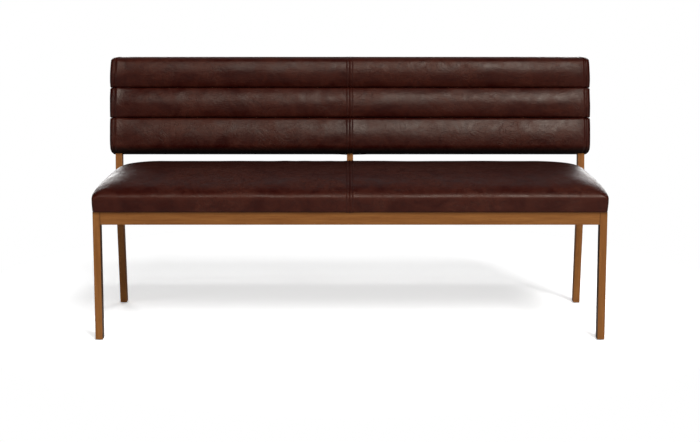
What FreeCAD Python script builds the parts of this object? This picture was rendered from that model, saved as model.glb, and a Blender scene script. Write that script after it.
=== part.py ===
# Upholstered banquette bench: a wooden frame with a crowned seat cushion and a back pad of
# three horizontal channels. Millimetres, +X to the right seen from the front, +Y to the back,
# +Z up. The origin is on the floor, in the middle of the width and of the depth.

import FreeCAD, Part
import math
import os

from FreeCAD import Vector

# Wooden frame, driving sizes
frame_width = 1650.0            # over the outer faces of the legs
rail_run = 536.0                # from the front faces of the front legs to those of the posts
rail_top = 420.0                # floor to the top of the seat frame
rail_height = 41.0
rail_thickness = 24.0
leg_width = 24.0                # front legs, seen from the front
rear_leg_width = 23.0
leg_depth = 38.0                # all legs, seen from the side
foot_kick = 55.0                # how far the rear feet stand behind the posts
lean_degrees = 6.0              # the posts and the back pad lean back by this
knee_radius = 90.0              # round inner side of the rear legs' bends
centre_post_width = 22.0
wood_ease = 1.5                 # rounding of the wood's long edges

# Tenons of the rails, housings of the bearers and battens
tenon_thickness = 8.0
tenon_shoulder = 6.0            # above and below a tenon
tenon_depth = 16.0
rear_tenon_depth = 12.0         # the rear rail's, in the side rails
housing_depth = 7.0             # bearers in the rails, battens in the posts
fit_gap = 0.1                   # round a tenon, screw or nail
end_gap = 1.0                   # a mortise or blind hole is this much deeper than what it holds

# Inside the seat frame
bearer_width = 28.0
bearer_height = 34.0
bearer_place_shares = (-0.5, 0.0, 0.5)      # of the half width inside the side rails
block_leg = 62.0                # corner block, along each rail
block_height = 24.0
block_nose = 9.0                # flat on the block's two sharp corners
block_screw_reach_share = 0.62  # of the block's leg, from the inner corner to a screw
block_screw_height_shares = (0.32, 0.7)     # of the block's height, one for each rail
corner_screw_share = 0.3        # of the block's leg, from the rails to the deck's screw

# Screws and nails. They and their holes are eight-sided, because they are many and small
bar_sides = 8
disc_sides = 20                 # glides and vents
screw_radius = 2.2
screw_head_radius = 4.2
screw_head_height = 2.4
head_room = 0.5                 # round a sunk head, on the radius
block_screw_grip = 16.0         # wood of the block under a screw's head
block_screw_bite = 17.0         # length of the screw in the rail
deck_screw_grip = 18.0
deck_screw_bite = 11.0
post_screw_bite = 26.0
post_screw_height_shares = (0.25, 0.75)     # of the rail's height
board_screw_bite = 24.0
panel_screw_bite = 11.0

# Foot glides
glide_height = 3.0
glide_radius = 9.0
glide_rim = 0.8                 # slope round the glide's lower edge
nail_radius = 1.3
nail_length = 15.0

# Seat cushion
leather = 1.5                   # thickness of the covering
cushion_proud = 1.5             # covering stands in front of the legs, beside them too
cushion_gap = 1.5               # from the cushion to the posts
soft_gap = 0.3                  # between foam and covering
deck_thickness = 15.0
base_foam_height = 30.0
edge_height = 43.0              # straight side of the cushion, above the frame
edge_draw = 1.5                 # the side draws in by this towards the frame
crown_rise = 78.0               # from the edge up to the top of the crown
crown_run_side = 130.0          # how far the crown's shoulder reaches in from the ends
crown_run_front = 200.0         # how far it reaches in from the front and from the back
corner_radius = 12.0            # seat's upright corners
corner_growth = 40.0            # the corner radius grows by this up to the top of the crown
crown_steps = 6
seam_gap = 0.6                  # between the left and the right covering
hem = 46.0                      # covering turned in under the deck
dust_cloth = 0.6
vent_radius = 16.0
vent_place_shares = (-0.75, -0.25, 0.25, 0.75)      # of the half width
deck_screw_place_shares = (-0.38, 0.38)             # of the clear depth of the frame

# Back pad, measured along the leaning posts from the top of the frame
back_overhang = 13.0            # the pad's ends stand out from the legs by this
pad_bottom = 125.0
seam_heights = (251.6, 356.0)
pad_top = 464.6
pad_front = 34.0                # crest of the channels in front of the posts
pad_corner_radius = 22.0
pad_rear_bevel = 7.0            # flat on the pad's upright rear corners
seam_depth = 11.0               # the front draws in by this at a seam
seam_depth_side = 3.0           # the ends draw in by this
channel_height_shares = (0.0, 0.08, 0.25, 0.5, 0.75, 0.92, 1.0)
channel_draw_shares = (1.0, 0.66, 0.2, 0.0, 0.2, 0.66, 1.0)
top_round = 16.0
bottom_round = 25.0
rear_round_share = 0.3          # of the top and bottom rounding, on the rear edge
round_angles = (30.0, 60.0, 90.0)
board_thickness = 9.0
panel_thickness = 3.0
wadding_thickness = 1.6
core_inset_top = 19.0           # foam above the boards
core_inset_bottom = 20.0        # foam under the boards
batten_height = 22.0
batten_depth = 30.0
batten_inset = 4.0              # from the boards' top and bottom edges
rear_seam_inset = 26.0          # rear covering's seam, in from the pad's edges
slot_gap = 0.3                  # between a post and the foam and covering that it passes
board_screw_place_shares = (0.16, 0.5, 0.84)        # of the board's height
panel_screw_place_shares = (0.24, 0.76)

overrun = 5.0                   # cutting shapes reach past what they cut by this

bevel_slant = 2 - math.sqrt(2)  # a bevel loses this much of an inward step

# Places that follow
lean = math.radians(lean_degrees)
rail_bottom = rail_top - rail_height
rail_middle = 0.5 * (rail_top + rail_bottom)
half_frame = 0.5 * frame_width
rake = math.atan(foot_kick / (rail_bottom - glide_height))
foot_depth = leg_depth / math.cos(rake)
overall_depth = cushion_proud + rail_run + foot_kick + foot_depth
frame_front = cushion_proud - 0.5 * overall_depth
post_front = frame_front + rail_run
side_inner = half_frame - rail_thickness
post_inner = half_frame - rear_leg_width
half_post = 0.5 * centre_post_width
side_middle = half_frame - 0.5 * rail_thickness
rear_rail_front = post_front - rail_thickness
inner_front = frame_front + rail_thickness

seat_bottom = rail_top
deck_bottom = seat_bottom + leather
deck_top = deck_bottom + deck_thickness
base_foam_top = deck_top + soft_gap + base_foam_height
half_seat = half_frame + cushion_proud
seat_front = frame_front - cushion_proud
seat_back = post_front - cushion_gap

pad_rear = leg_depth + panel_thickness + wadding_thickness + leather
half_back = half_frame + back_overhang
core_bottom = pad_bottom + core_inset_bottom
core_top = pad_top - core_inset_top
core_height = core_top - core_bottom
pivot = Vector(0, post_front, rail_top)


def block(x0, x1, y0, y1, z0, z1):
    """A box between two corners."""
    return Part.makeBox(x1 - x0, y1 - y0, z1 - z0, Vector(x0, y0, z0))


def leaned(shape):
    """Turn what was made on an upright post back to the posts' lean."""
    turned = shape.copy()
    turned.rotate(pivot, Vector(1, 0, 0), -lean_degrees)
    return turned


def on_post(y, z):
    """Y and Z in the frame of a point y behind the posts' front faces, z along them."""
    return (post_front + y * math.cos(lean) + z * math.sin(lean),
            rail_top - y * math.sin(lean) + z * math.cos(lean))


def side_profile(points, x0, width):
    """A board with the given outline seen from the side, width thick."""
    corners = [Vector(x0, y, z) for y, z in points]
    face = Part.Face(Part.makePolygon(corners + corners[:1]))
    return face.extrude(Vector(width, 0, 0))


def eased(shape, radius, wanted):
    """Round the edges for which wanted(edge) holds."""
    edges = [edge for edge in shape.Edges if wanted(edge)]
    return shape.makeFillet(radius, edges)


def runs_along(edge, axis):
    """True where a straight edge runs along a unit axis."""
    first, last = edge.Vertexes[0].Point, edge.Vertexes[-1].Point
    step = last - first
    return step.Length > 0 and abs(step.dot(axis)) > 0.999 * step.Length


def solid_of(faces):
    """The closed solid that the faces bound."""
    shell = Part.makeShell(faces)
    shell.sewShape()
    solid = Part.makeSolid(shell)
    if solid.Volume < 0:
        solid.reverse()
    return solid


def facet(*corners):
    return Part.Face(Part.makePolygon(list(corners) + [corners[0]]))


def bar(rings, start, direction, sides=bar_sides):
    """A straight bar with flat sides that leaves start along direction, through its rings, which
    are (height, radius) pairs."""
    turns = [2 * math.pi * (i + 0.5) / sides for i in range(sides)]
    loops = [[Vector(radius * math.cos(t), radius * math.sin(t), height) for t in turns]
             for height, radius in rings]
    faces = [facet(*loops[0]), facet(*loops[-1])]
    for low, high in zip(loops, loops[1:]):
        for i in range(sides):
            j = (i + 1) % sides
            faces.append(facet(low[i], low[j], high[j], high[i]))
    solid = solid_of(faces)
    solid.Placement = FreeCAD.Placement(start, FreeCAD.Rotation(Vector(0, 0, 1), direction))
    return solid


def screw(head_place, direction, length):
    """A countersunk screw: head_place is the middle of the head's flat top."""
    return bar([(0, screw_head_radius), (screw_head_height, screw_radius), (length, screw_radius)],
               head_place, direction)


def screw_hole(head_place, direction, length, sink):
    """The hole for that screw, open above the head for the depth sink."""
    wide = screw_head_radius + head_room
    slim = screw_radius + fit_gap
    return bar([(-sink, wide), (0, wide), (screw_head_height + head_room, slim),
                (length + end_gap, slim)], head_place, direction)


def drilled(shape, tools):
    """Cut the tools whose boxes meet the shape's box."""
    near = [tool for tool in tools if tool.BoundBox.intersect(shape.BoundBox)]
    return shape.cut(near) if near else shape


def outline(z, half_width, front, back, radius, bevel=0):
    """A rectangle at height z with corners of a radius, or, where bevel isn't zero, with
    rounded corners in front and corners cut off straight at the back. Its eight edges go
    corner, side, corner, side, ..."""
    slant = math.sqrt(0.5)
    cuts = ((1, -1, radius), (1, 1, bevel or radius), (-1, 1, bevel or radius), (-1, -1, radius))
    corners = []
    for side, depth, cut in cuts:
        x = side * (half_width - cut)
        y = (front + cut) if depth < 0 else (back - cut)
        on_end = Vector(x + side * cut, y, z)
        on_face = Vector(x, y + depth * cut, z)
        middle = Vector(x + side * slant * cut, y + depth * slant * cut, z)
        first, last = (on_face, on_end) if side * depth < 0 else (on_end, on_face)
        straight = bevel and depth > 0
        edge = Part.LineSegment(first, last) if straight else Part.Arc(first, middle, last)
        corners.append((edge.toShape(), first, last))
    edges = []
    for (edge, first, last), (_, following, _) in zip(corners, corners[1:] + corners[:1]):
        edges += [edge, Part.LineSegment(last, following).toShape()]
    return edges


def lofted(rings):
    """A closed solid through outlines: flat between their lines and ruled between their arcs."""
    loops = [outline(*ring) for ring in rings]
    faces = [Part.Face(Part.Wire(loops[0])), Part.Face(Part.Wire(loops[-1]))]
    for lower, upper in zip(loops, loops[1:]):
        for low, high in zip(lower, upper):
            if isinstance(low.Curve, Part.Line):
                ends = [edge.Vertexes[k].Point for edge, k in ((low, 0), (low, 1), (high, 1), (high, 0))]
                faces.append(facet(*ends))
            else:
                faces.append(Part.makeRuledSurface(low, high))
    return solid_of(faces)


def seat_form(skin):
    """The seat cushion's outer form, drawn in on every side by skin.

    The first outline is at the frame, where the sides draw in. The others climb a quarter
    ellipse whose height is the crown and whose runs are the shoulders."""
    half_width = half_seat - skin
    front = seat_front + skin
    back = seat_back - skin
    bottom = seat_bottom + skin
    edge_top = seat_bottom + edge_height
    run_side = crown_run_side - skin
    run_front = crown_run_front - skin
    rise = crown_rise - skin
    radius = corner_radius - skin
    rings = [(bottom, half_width - edge_draw, front + edge_draw, back - edge_draw, radius)]
    for step in range(crown_steps + 1):
        angle = 0.5 * math.pi * step / crown_steps
        inward = 1 - math.cos(angle)
        z = edge_top + rise * math.sin(angle)
        rings.append((z, half_width - run_side * inward, front + run_front * inward,
                      back - run_front * inward, radius + corner_growth * math.sin(angle)))
    return lofted(rings)


def halves(shape, gap):
    """Cut a shape at the middle of the width into its left and its right half."""
    box = shape.BoundBox
    spans = ((box.XMin - overrun, -0.5 * gap), (0.5 * gap, box.XMax + overrun))
    return [shape.common(block(x0, x1, box.YMin - overrun, box.YMax + overrun,
                               box.ZMin - overrun, box.ZMax + overrun)) for x0, x1 in spans]


def pad_ring(height, front_draw, side_draw, rear_draw, skin):
    """One outline of the back pad, on an upright post."""
    return (rail_top + height, half_back - skin - side_draw,
            post_front - pad_front + skin + front_draw,
            post_front + pad_rear - skin - rear_draw,
            pad_corner_radius - skin, pad_rear_bevel - bevel_slant * skin)


def channel_form(bottom, top, skin, rounds_top=False, rounds_bottom=False):
    """One channel of the back pad: it bulges between its seams, in front and round the ends.

    At a seam the outline draws in by seam_depth. Where the channel ends the pad instead, the
    outline rolls in along a quarter circle."""
    rings = []
    height = top - bottom
    for height_share, draw_share in zip(channel_height_shares, channel_draw_shares):
        lower = height_share < 0.5
        if (lower and rounds_bottom) or (height_share > 0.5 and rounds_top):
            continue
        rings.append(pad_ring(bottom + height * height_share, seam_depth * draw_share,
                              seam_depth_side * draw_share, 0, skin))
    if rounds_bottom:
        rings = rolled(bottom, 1, bottom_round, skin)[::-1] + rings
    if rounds_top:
        rings = rings + rolled(top, -1, top_round, skin)
    return lofted(rings)


def rolled(end, inward, radius, skin):
    """Outlines of a pad end that rolls in along a quarter circle, from its start to its end."""
    rings = [pad_ring(end + inward * radius, 0, 0, 0, skin)]
    for angle in round_angles:
        swing = math.radians(angle)
        height = end + inward * (radius - (radius - skin) * math.sin(swing))
        draw = (radius - skin) * (1 - math.cos(swing))
        rings.append(pad_ring(height, draw, draw, rear_round_share * draw, skin))
    return rings


# Straight front legs
def front_leg(side):
    x0 = half_frame - leg_width if side > 0 else -half_frame
    leg = block(x0, x0 + leg_width, frame_front, frame_front + leg_depth, glide_height, rail_top)
    return eased(leg, wood_ease, lambda edge: runs_along(edge, Vector(0, 0, 1)))


# Rear leg and back post in one: raked below the rail, upright beside it, leaning above it
def rear_leg_points(bottom_points):
    top = core_top
    inner_lean = leg_depth * math.tan(0.5 * lean)
    points = list(bottom_points)
    points += [(post_front, rail_top), on_post(0, top), on_post(leg_depth, top),
               (post_front + leg_depth, rail_top - inner_lean)]
    return points


def rear_leg(side):
    x0 = half_frame - rear_leg_width if side > 0 else -half_frame
    foot_front = post_front + foot_kick
    inner_rake = leg_depth * math.tan(0.5 * rake)
    low = [(post_front + leg_depth, rail_bottom + inner_rake),
           (foot_front + foot_depth, glide_height), (foot_front, glide_height),
           (post_front, rail_bottom)]
    leg = side_profile(rear_leg_points(low), x0, rear_leg_width)
    knees = (rail_bottom + inner_rake, rail_top - leg_depth * math.tan(0.5 * lean))

    def at_knee(edge):
        point = edge.Vertexes[0].Point
        return (runs_along(edge, Vector(1, 0, 0)) and point.y > post_front + 0.5 * leg_depth
                and min(abs(point.z - z) for z in knees) < 0.1 * leg_depth)

    leg = eased(leg, knee_radius, at_knee)
    return eased(leg, wood_ease, runs_down)


def runs_down(edge):
    """True for the long edges of a post or leg, its round knees among them."""
    box = edge.BoundBox
    return box.XLength < box.ZLength and box.ZLength > 2 * wood_ease


def centre_post():
    low = [(post_front + leg_depth, rail_bottom), (post_front, rail_bottom)]
    post = side_profile(rear_leg_points(low), -half_post, centre_post_width)
    return eased(post, wood_ease, runs_down)


# Seat frame. A tenon is one box of the given place and length, and its mortise the same box
# with a gap round it
def tenon_boxes(gap):
    """(node that has the tenon, box) for every tenon of the seat frame."""
    low = rail_bottom + tenon_shoulder - gap
    high = rail_top - tenon_shoulder + gap
    half = 0.5 * tenon_thickness + gap
    deep = tenon_depth + (end_gap if gap else 0)
    rear_deep = rear_tenon_depth + (end_gap if gap else 0)
    boxes = []
    for side, name in ((-1, "left"), (1, "right")):
        face = half_frame - leg_width
        near, far = sorted((side * face, side * (face + deep)))
        middle = frame_front + 0.5 * rail_thickness
        boxes.append(("front_rail", block(near, far, middle - half, middle + half, low, high)))
        near, far = sorted((side * side_inner, side * (side_inner + rear_deep)))
        middle = rear_rail_front + 0.5 * rail_thickness
        boxes.append(("rear_rail", block(near, far, middle - half, middle + half, low, high)))
        x = side * side_middle
        for face, way in ((frame_front + leg_depth, -1), (post_front, 1)):
            near, far = sorted((face, face + way * deep))
            boxes.append(("side_rail_" + name, block(x - half, x + half, near, far, low, high)))
    return boxes


def with_tenons(node, rail):
    return rail.fuse([box for owner, box in tenon_boxes(0) if owner == node]).removeSplitter()


def mortises(*owners):
    return [box for owner, box in tenon_boxes(fit_gap) if owner.startswith(owners)]


def front_rail():
    rail = block(leg_width - half_frame, half_frame - leg_width, frame_front, inner_front,
                 rail_bottom, rail_top)
    rail = eased(rail, wood_ease, lambda edge: runs_along(edge, Vector(1, 0, 0))
                 and edge.Vertexes[0].Point.z < rail_middle)
    return with_tenons("front_rail", rail)


def rear_rail():
    rail = block(-side_inner, side_inner, rear_rail_front, post_front, rail_bottom, rail_top)
    return with_tenons("rear_rail", rail)


def side_rail(side, name):
    x0 = side_inner if side > 0 else -half_frame
    rail = block(x0, x0 + rail_thickness, frame_front + leg_depth, post_front, rail_bottom, rail_top)
    rail = eased(rail, wood_ease, lambda edge: runs_along(edge, Vector(0, 1, 0))
                 and edge.Vertexes[0].Point.z < rail_middle)
    return with_tenons("side_rail_" + name, rail)


def bearer_middle(share):
    return share * side_inner


def bearer(share, gap=0):
    """A cross bearer, housed in the front and the rear rail."""
    middle = bearer_middle(share)
    half = 0.5 * bearer_width + gap
    return block(middle - half, middle + half, inner_front - housing_depth - gap,
                 rear_rail_front + housing_depth + gap, rail_top - bearer_height - gap, rail_top)


def block_corner(side, end):
    """Inner corner of the seat frame: side is 1 on the right, end is 1 at the back."""
    return side * side_inner, (rear_rail_front if end > 0 else inner_front)


def corner_block(side, end):
    x, y = block_corner(side, end)
    inward_x, inward_y = -side, -end
    low = rail_top - block_height
    points = [(0, 0), (block_leg, 0), (block_leg, block_nose), (block_nose, block_leg), (0, block_leg)]
    corners = [Vector(x + inward_x * a, y + inward_y * b, low) for a, b in points]
    face = Part.Face(Part.makePolygon(corners + corners[:1]))
    return face.extrude(Vector(0, 0, block_height))


# Corner block screws, level, one into each rail
def block_screws_and_holes():
    screws, holes = [], []
    reach = block_screw_reach_share * block_leg
    length = block_screw_grip + block_screw_bite
    low, high = [rail_top - (1 - share) * block_height for share in block_screw_height_shares]
    for side in (-1, 1):
        for end in (-1, 1):
            x, y = block_corner(side, end)
            for place, way in (
                    (Vector(x - side * reach, y - end * block_screw_grip, low), Vector(0, end, 0)),
                    (Vector(x - side * block_screw_grip, y - end * reach, high), Vector(side, 0, 0))):
                screws.append(screw(place, way, length))
                holes.append(screw_hole(place, way, length, block_leg))
    return screws, holes


# Screws that hold the seat deck from below, through the bearers and the corner blocks
def deck_screws_and_holes():
    screws, holes = [], []
    clear_middle = 0.5 * (inner_front + rear_rail_front)
    clear_depth = rear_rail_front - inner_front
    low = rail_top - deck_screw_grip
    length = deck_screw_grip + leather + deck_screw_bite
    corner_screw = corner_screw_share * block_leg
    places = [(bearer_middle(share), clear_middle + clear_depth * place)
              for share in bearer_place_shares for place in deck_screw_place_shares]
    for side in (-1, 1):
        for end in (-1, 1):
            x, y = block_corner(side, end)
            places.append((x - side * corner_screw, y - end * corner_screw))
    for x, y in places:
        place = Vector(x, y, low)
        screws.append(screw(place, Vector(0, 0, 1), length))
        holes.append(screw_hole(place, Vector(0, 0, 1), length, rail_height))
    return screws, holes


# Screws through the rear rail into the centre post
def post_screws_and_holes():
    screws, holes = [], []
    length = rail_thickness - housing_depth + post_screw_bite
    for share in post_screw_height_shares:
        place = Vector(0, rear_rail_front + housing_depth, rail_bottom + share * rail_height)
        screws.append(screw(place, Vector(0, 1, 0), length))
        holes.append(screw_hole(place, Vector(0, 1, 0), length, housing_depth))
    return screws, holes


# Foot glides: a nylon disc on a nail under each leg
def foot_places():
    front = frame_front + 0.5 * leg_depth
    back = post_front + foot_kick + 0.5 * foot_depth
    return {"front_left": (0.5 * leg_width - half_frame, front),
            "front_right": (half_frame - 0.5 * leg_width, front),
            "rear_left": (0.5 * rear_leg_width - half_frame, back),
            "rear_right": (half_frame - 0.5 * rear_leg_width, back)}


def glides_and_nails():
    glides, nails, holes = {}, [], []
    for name, (x, y) in foot_places().items():
        rings = [(0, glide_radius - glide_rim), (glide_rim, glide_radius), (glide_height, glide_radius)]
        glides[name] = bar(rings, Vector(x, y, 0), Vector(0, 0, 1), disc_sides)
        start = Vector(x, y, glide_height)
        nails.append(bar([(0, nail_radius), (nail_length, nail_radius)], start, Vector(0, 0, 1)))
        bore = nail_radius + fit_gap
        holes.append(bar([(-glide_height, bore), (nail_length + end_gap, bore)], start, Vector(0, 0, 1)))
    return glides, nails, holes


# Seat cushion: deck, two foams, dust cloth and the covering in two halves
def seat_slab(form, low, high):
    return form.common(block(-half_seat, half_seat, seat_front, seat_back, low, high))


def seat_deck(holes):
    inset = leather + soft_gap + edge_draw
    ring = outline(deck_bottom, half_seat - inset, seat_front + inset, seat_back - inset,
                   corner_radius - leather)
    deck = Part.Face(Part.Wire(ring)).extrude(Vector(0, 0, deck_thickness))
    middle = 0.5 * (seat_front + seat_back)
    rings = [(-overrun, vent_radius), (deck_thickness + overrun, vent_radius)]
    vents = [bar(rings, Vector(share * half_seat, middle, deck_bottom), Vector(0, 0, 1), disc_sides)
             for share in vent_place_shares]
    return drilled(deck, vents + holes)


def hem_opening(low, high, inset):
    edge = leather + hem + inset
    return block(-half_seat + edge, half_seat - edge, seat_front + edge, seat_back - edge, low, high)


def seat_covers(holes):
    """The covering's two halves. Their hem is turned in under the deck, where the corner
    blocks' screws go through it."""
    cover = seat_form(0).cut(seat_form(leather))
    cover = cover.cut(hem_opening(seat_bottom - overrun, deck_bottom + overrun, 0))
    return [drilled(half, holes) for half in halves(cover, seam_gap)]


def dust_cover(holes):
    cloth = hem_opening(deck_bottom - dust_cloth, deck_bottom, soft_gap)
    return drilled(cloth, holes)


# Back pad: boards and battens round the posts, channel foams, wadding and covering
def core_block(front, back, low, high, gap):
    return block(-half_frame - gap, half_frame + gap, post_front + front - gap,
                 post_front + back, rail_top + low - gap, rail_top + high + gap)


def post_slots(low, high):
    slots = []
    for x0, x1 in ((-half_frame, -post_inner), (-half_post, half_post), (post_inner, half_frame)):
        slots.append(block(x0 - slot_gap, x1 + slot_gap, post_front - slot_gap,
                           post_front + leg_depth + slot_gap, rail_top + low, rail_top + high))
    return slots


def channel_spans():
    lower_seam, upper_seam = seam_heights
    return {"lower": (pad_bottom, lower_seam, False, True),
            "middle": (lower_seam, upper_seam, False, False),
            "upper": (upper_seam, pad_top, True, False)}


def channel_foam(bottom, top, rounds_top, rounds_bottom):
    foam = channel_form(bottom, top, leather + soft_gap, rounds_top, rounds_bottom)
    core = core_block(-board_thickness, pad_rear + overrun, core_bottom, core_top, soft_gap)
    foam = foam.cut(core)
    if rounds_bottom:
        foam = foam.cut(post_slots(pad_bottom - overrun, core_bottom + overrun))
    return leaned(foam)


def rear_opening(gap):
    edge = rear_seam_inset + gap
    return block(-half_back + edge, half_back - edge, post_front + pad_rear - leather,
                 post_front + pad_rear + overrun, rail_top + pad_bottom + edge,
                 rail_top + pad_top - edge)


def channel_covers(bottom, top, rounds_top, rounds_bottom):
    cover = channel_form(bottom, top, 0, rounds_top, rounds_bottom)
    cover = cover.cut(channel_form(bottom, top, leather, rounds_top, rounds_bottom))
    inside = leather + overrun
    if not rounds_bottom:
        cover = cover.cut(seam_mouth(bottom))
    if not rounds_top:
        cover = cover.cut(seam_mouth(top))
    cover = cover.cut(rear_opening(0))
    if rounds_bottom:
        cover = cover.cut(post_slots(pad_bottom - overrun, pad_bottom + inside))
    return [leaned(half) for half in halves(cover, seam_gap)]


def seam_mouth(height):
    """The space inside the covering at a seam, where one channel opens into the next."""
    ring = pad_ring(height - leather - soft_gap, seam_depth, seam_depth_side, 0, leather)
    return Part.Face(Part.Wire(outline(*ring))).extrude(Vector(0, 0, 2 * (leather + soft_gap)))


def rear_covers():
    sheet = rear_opening(soft_gap)
    skin = block(-half_back, half_back, post_front + pad_rear - leather, post_front + pad_rear,
                 rail_top + pad_bottom, rail_top + pad_top)
    return [leaned(half) for half in halves(sheet.common(skin), seam_gap)]


def core_screws_and_holes():
    """Screws of the front board and of the rear panel in the three posts, and their holes."""
    board, panel, holes = [], [], []
    bottom = rail_top + core_bottom
    rear = post_front + leg_depth + panel_thickness
    for x in (0.5 * rear_leg_width - half_frame, 0, half_frame - 0.5 * rear_leg_width):
        for share in board_screw_place_shares:
            place = Vector(x, post_front - board_thickness, bottom + core_height * share)
            length = board_thickness + board_screw_bite
            board.append(leaned(screw(place, Vector(0, 1, 0), length)))
            holes.append(leaned(screw_hole(place, Vector(0, 1, 0), length, soft_gap)))
        for share in panel_screw_place_shares:
            place = Vector(x, rear, bottom + core_height * share)
            length = panel_thickness + panel_screw_bite
            panel.append(leaned(screw(place, Vector(0, -1, 0), length)))
            holes.append(leaned(screw_hole(place, Vector(0, -1, 0), length, soft_gap)))
    return board, panel, holes


def batten(side, low, gap=0):
    """A batten between two posts, housed in both."""
    x0, x1 = (half_post, post_inner) if side > 0 else (-post_inner, -half_post)
    middle = post_front + 0.5 * leg_depth
    half = 0.5 * batten_depth + gap
    return leaned(block(x0 - housing_depth - gap, x1 + housing_depth + gap, middle - half,
                        middle + half, rail_top + low - gap, rail_top + low + batten_height + gap))


def build():
    """Every node's name and shape."""
    pieces = {}
    block_screws, block_holes = block_screws_and_holes()
    deck_screws, deck_holes = deck_screws_and_holes()
    corner_holes = [hole for hole in deck_holes
                    if abs(hole.BoundBox.Center.x) > half_seat - leather - hem]
    post_screws, post_holes = post_screws_and_holes()
    glides, nails, nail_holes = glides_and_nails()
    board_screws, panel_screws, core_holes = core_screws_and_holes()
    housings = [bearer(share, fit_gap) for share in bearer_place_shares]
    batten_lows = {"upper": core_top - batten_height - batten_inset, "lower": core_bottom + batten_inset}
    sockets = [batten(side, low, fit_gap) for low in batten_lows.values() for side in (-1, 1)]

    for side, name in ((-1, "left"), (1, "right")):
        leg_cuts = mortises("front_rail", "side_rail") + nail_holes + block_holes
        pieces["front_leg_" + name] = drilled(front_leg(side), leg_cuts)
        pieces["rear_leg_" + name] = drilled(rear_leg(side), leg_cuts + sockets + core_holes)
        pieces["side_rail_" + name] = drilled(side_rail(side, name), mortises("rear_rail") + block_holes)
        for end, place in ((-1, "front"), (1, "rear")):
            node = "corner_block_%s_%s" % (place, name)
            pieces[node] = drilled(corner_block(side, end), block_holes + deck_holes)
        for level, low in batten_lows.items():
            pieces["%s_batten_%s" % (level, name)] = drilled(batten(side, low), core_holes)
    pieces["centre_post"] = drilled(centre_post(), post_holes + sockets + core_holes)
    pieces["front_rail"] = drilled(front_rail(), housings + block_holes)
    pieces["rear_rail"] = drilled(rear_rail(), housings + block_holes + post_holes)
    for share, name in zip(bearer_place_shares, ("left", "centre", "right")):
        pieces["bearer_" + name] = drilled(bearer(share), deck_holes + post_holes)

    groups = {"block_screws": block_screws, "deck_screws": deck_screws, "post_screws": post_screws,
              "board_screws": board_screws, "panel_screws": panel_screws, "glide_nails": nails}
    for name, solids in groups.items():
        pieces[name] = Part.makeCompound(solids)
    for name, glide in glides.items():
        pieces["glide_" + name] = glide

    foam = seat_form(leather + soft_gap)
    pieces["seat_deck"] = seat_deck(deck_holes)
    pieces["seat_base_foam"] = seat_slab(foam, deck_top + soft_gap, base_foam_top)
    pieces["seat_crown_foam"] = seat_slab(foam, base_foam_top, seat_bottom + edge_height + crown_rise)
    pieces["seat_cover_left"], pieces["seat_cover_right"] = seat_covers(corner_holes)
    pieces["seat_dust_cover"] = dust_cover(deck_holes)

    board = core_block(-board_thickness, 0, core_bottom, core_top, 0)
    panel = core_block(leg_depth, leg_depth + panel_thickness, core_bottom, core_top, 0)
    wadding = core_block(leg_depth + panel_thickness, pad_rear - leather - soft_gap,
                         core_bottom, core_top, 0)
    pieces["back_board"] = drilled(leaned(board), core_holes)
    pieces["rear_panel"] = drilled(leaned(panel), core_holes)
    pieces["rear_wadding"] = leaned(wadding)
    for name, span in channel_spans().items():
        pieces[name + "_channel_foam"] = channel_foam(*span)
        cover = name + "_channel_cover_"
        pieces[cover + "left"], pieces[cover + "right"] = channel_covers(*span)
    pieces["rear_cover_left"], pieces["rear_cover_right"] = rear_covers()
    return pieces


os.makedirs("parts", exist_ok=True)
for node, shape in build().items():
    shape.exportStep("parts/%s.step" % node)
    print(node, len(shape.Solids), "solids", round(shape.Volume), "ok" if shape.isValid() else "INVALID")
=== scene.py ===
"""Upholstered banquette bench: leather cushions, stitching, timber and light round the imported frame."""
import math

import bmesh
import bpy
import numpy as np
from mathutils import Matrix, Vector

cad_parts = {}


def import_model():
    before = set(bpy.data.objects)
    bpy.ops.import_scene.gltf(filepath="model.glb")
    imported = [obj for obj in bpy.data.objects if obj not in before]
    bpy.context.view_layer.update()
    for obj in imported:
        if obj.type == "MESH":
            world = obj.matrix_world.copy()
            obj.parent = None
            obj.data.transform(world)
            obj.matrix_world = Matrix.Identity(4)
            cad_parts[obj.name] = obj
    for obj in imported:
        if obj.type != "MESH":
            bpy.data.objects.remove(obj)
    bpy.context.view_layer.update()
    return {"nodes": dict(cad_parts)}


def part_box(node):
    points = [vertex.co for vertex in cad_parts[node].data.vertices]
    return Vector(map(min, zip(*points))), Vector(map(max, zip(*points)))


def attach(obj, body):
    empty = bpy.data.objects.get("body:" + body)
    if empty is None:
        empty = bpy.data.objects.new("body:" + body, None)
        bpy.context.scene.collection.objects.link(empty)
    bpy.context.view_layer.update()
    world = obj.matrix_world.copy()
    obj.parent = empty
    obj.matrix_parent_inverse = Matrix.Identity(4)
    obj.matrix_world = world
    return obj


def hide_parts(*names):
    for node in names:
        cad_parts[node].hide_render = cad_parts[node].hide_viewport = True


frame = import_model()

X, Y, Z = 0, 1, 2
SIDES = {"left": -1, "right": 1}

# Places taken from the frame
RAIL_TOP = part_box("front_rail")[1].z
FRAME_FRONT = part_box("front_leg_left")[0].y
POST_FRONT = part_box("rear_rail")[1].y
HALF_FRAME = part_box("front_leg_right")[1].x
LEG_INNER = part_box("front_leg_right")[0].x
DECK_LOW, DECK_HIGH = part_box("seat_deck")
DUST_LOW, DUST_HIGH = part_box("seat_dust_cover")
DUST_WIDE, DUST_DEEP = DUST_HIGH.x - DUST_LOW.x, DUST_HIGH.y - DUST_LOW.y

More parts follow.
